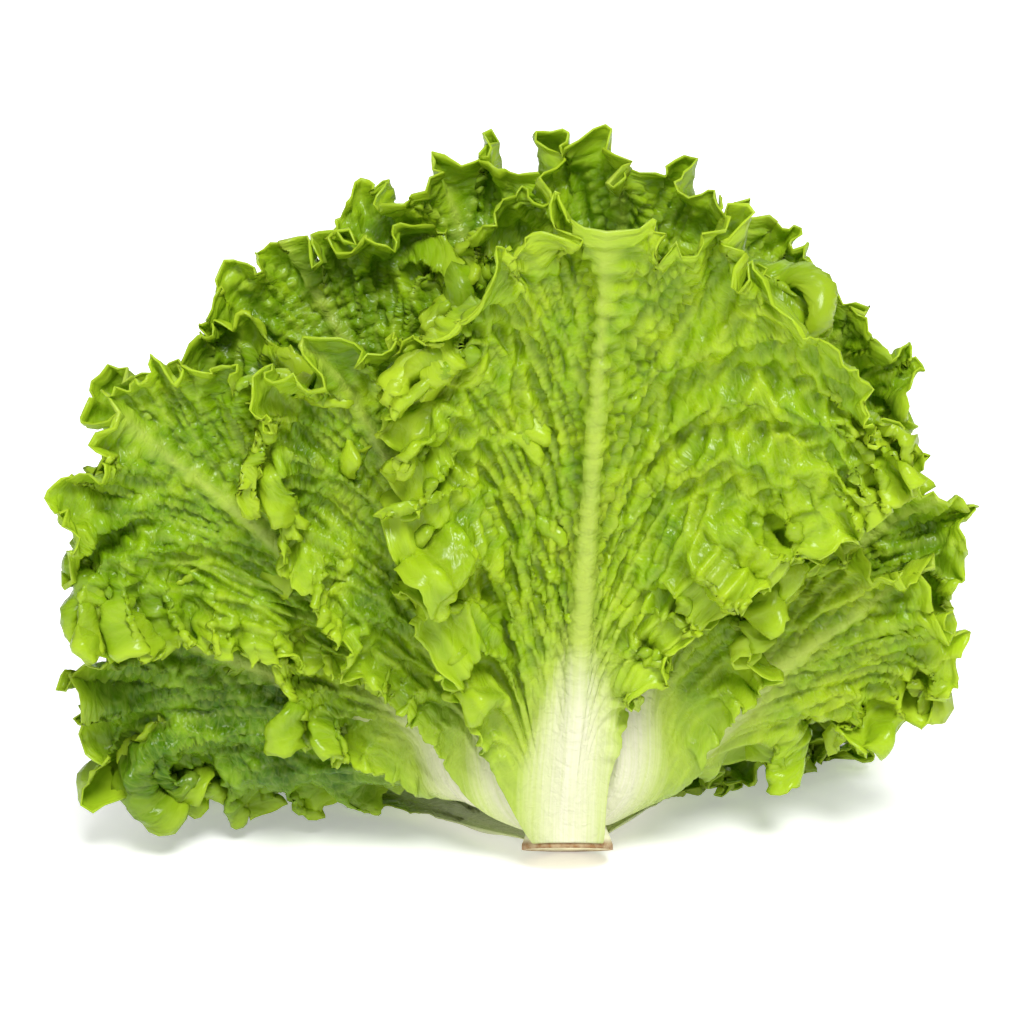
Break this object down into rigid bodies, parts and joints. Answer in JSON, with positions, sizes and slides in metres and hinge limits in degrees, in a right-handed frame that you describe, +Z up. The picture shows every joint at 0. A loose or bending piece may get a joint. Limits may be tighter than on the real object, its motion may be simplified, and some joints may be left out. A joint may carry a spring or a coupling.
{
  "type": "head of lettuce",
  "caption": "Loose-leaf frilly green lettuce head with a cut white stem, leaning back on its stem rim and outer back leaves.",
  "frame": {"origin": "centre of the bounding box's bottom face, on the surface that the head rests on", "axes": "+Z up, +X to the right of someone who faces the front leaf, which looks towards -Y; the stem's axis leans back towards +Y"},
  "size_m": [0.3444, 0.2896, 0.2836],
  "materials": {
    "stem": "moist cut plant tissue, cream with a brown rim",
    "leaf": "semi-gloss waxy leaf, yellow-green with pale ribs",
    "heart_leaf": "semi-gloss waxy young leaf, light yellow-green"
  },
  "bodies": {
    "root": {"stem": "stem", "leaf_front": "leaf", "leaf_back_left": "leaf", "leaf_back_right": "leaf", "leaf_front_left": "leaf", "leaf_back": "leaf", "leaf_front_right": "leaf", "leaf_left": "leaf", "leaf_back_upper": "leaf", "leaf_left_small": "leaf", "leaf_right_low": "leaf", "leaf_left_low": "leaf", "leaf_top_front": "leaf", "leaf_side_left": "leaf", "leaf_right_upper": "leaf", "leaf_back_inner_left": "leaf", "leaf_left_upper": "leaf", "leaf_back_inner_right": "leaf", "leaf_upper_left": "leaf", "leaf_side_right": "leaf", "leaf_top_left": "leaf", "leaf_back_upper_left": "leaf", "leaf_right_top": "leaf", "leaf_side_left_inner": "leaf", "leaf_top_right": "leaf", "leaf_back_inner": "leaf", "leaf_inner_right": "leaf", "leaf_inner_left": "leaf", "heart_leaf_right": "heart_leaf", "heart_leaf_back": "heart_leaf", "heart_leaf_left": "heart_leaf"}
  },
  "joints": []
}
